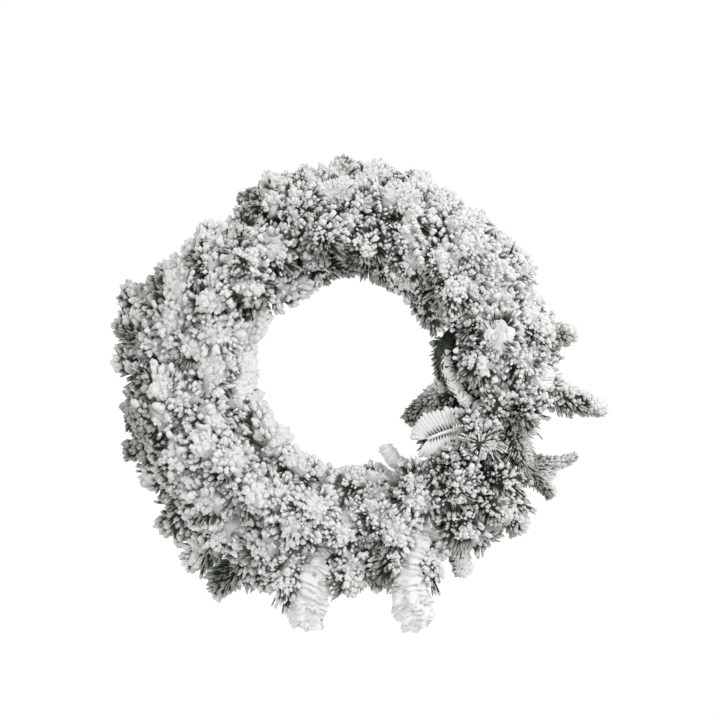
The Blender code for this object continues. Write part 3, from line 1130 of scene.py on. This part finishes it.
# %% Ring
def green_wire_finish():
    """Two greens mixed by a noise, which also roughens the lacquer and gives its bump."""
    material, start = new_material("green_wire")
    where = start.node("ShaderNodeTexCoord", None, None, output=3)
    worn = start.node("ShaderNodeTexNoise", None, {"Vector": where, "Scale": 160.0, "Detail": 4.0})
    colour = worn.mix((0.012, 0.035, 0.014, 1), (0.03, 0.075, 0.03, 1))
    relief = {"Height": worn, "Strength": 0.3, "Distance": 0.2 * MM}
    bump = start.node("ShaderNodeBump", None, relief)
    finish_material(start, {"Base Color": colour, "Roughness": 0.3 + 0.3 * worn, "Normal": bump})
    return material


green_wire = green_wire_finish()
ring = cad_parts["wire_ring"]
ring.data.materials.clear()
ring.data.materials.append(green_wire)

# %% [markdown]
# ## Studio
#
# The wreath hangs in soft white light, straight ahead of the camera.

# %% Floor, light and camera
WORLD_LIGHT = 0.94
WORLD_SEEN = 0.10
KEY_PLACE = (1.9, -1.5, 1.35)
KEY_SIZE = 0.9
KEY_POWER = 25.5
FLOOR_Z = -0.95
FLOOR_RADIUS = 0.9
FLOOR_SIDES = 96
world = bpy.data.worlds.new("studio")
bpy.context.scene.world = world
world.use_nodes = True
world_tree = world.node_tree
world_tree.nodes.clear()
sky = Tap(world_tree)
seen = sky.node("ShaderNodeLightPath", None, None, output="Is Camera Ray")
strength = WORLD_LIGHT + WORLD_SEEN * seen
background = sky.node("ShaderNodeBackground", None, {"Color": (1, 1, 1, 1), "Strength": strength})
sky.node("ShaderNodeOutputWorld", None, {"Surface": background})


def area_light(name, place, size, power):
    """A square soft light that faces the wreath's centre."""
    data = bpy.data.lights.new(name, "AREA")
    data.size = size
    data.energy = power
    light = bpy.data.objects.new(name, data)
    bpy.context.scene.collection.objects.link(light)
    light.location = place
    aim = Vector(RING_CENTRE) - light.location
    light.rotation_euler = aim.to_track_quat("-Z", "Y").to_euler()
    return light


area_light("key", KEY_PLACE, KEY_SIZE, KEY_POWER)

turns = np.linspace(0, 2 * math.pi, FLOOR_SIDES + 1)[:-1]
floor_x = FLOOR_RADIUS * np.cos(turns)
floor_points = np.stack([floor_x, FLOOR_RADIUS * np.sin(turns), 0 * turns + FLOOR_Z], 1)
floor_mesh = bpy.data.meshes.new("floor")
floor_mesh.from_pydata(floor_points.tolist(), [], [tuple(range(len(turns)))])
floor = bpy.data.objects.new("floor", floor_mesh)
bpy.context.scene.collection.objects.link(floor)
floor_material, floor_start = new_material("pale_floor")
finish_material(floor_start, {"Base Color": (0.86, 0.86, 0.85, 1), "Roughness": 0.8})
floor_mesh.materials.append(floor_material)

PIXEL = 1.222 * MM
PICTURE = 720
HOLE_AT = (345.1, 371.5)
LENS = 70.0
SENSOR = 36.0
camera_data = bpy.data.cameras.new("camera")
camera_data.lens = LENS
camera_data.sensor_width = SENSOR
camera = bpy.data.objects.new("camera", camera_data)
bpy.context.scene.collection.objects.link(camera)
aim_x = (PICTURE / 2 - HOLE_AT[0]) * PIXEL
aim_z = RING_CENTRE[2] + (HOLE_AT[1] - PICTURE / 2) * PIXEL
away = LENS / SENSOR * PICTURE * PIXEL
camera.location = (aim_x, -away, aim_z)
camera.rotation_euler = (90 * DEG, 0, 0)
bpy.context.scene.camera = camera
bpy.context.scene.view_settings.view_transform = "Standard"
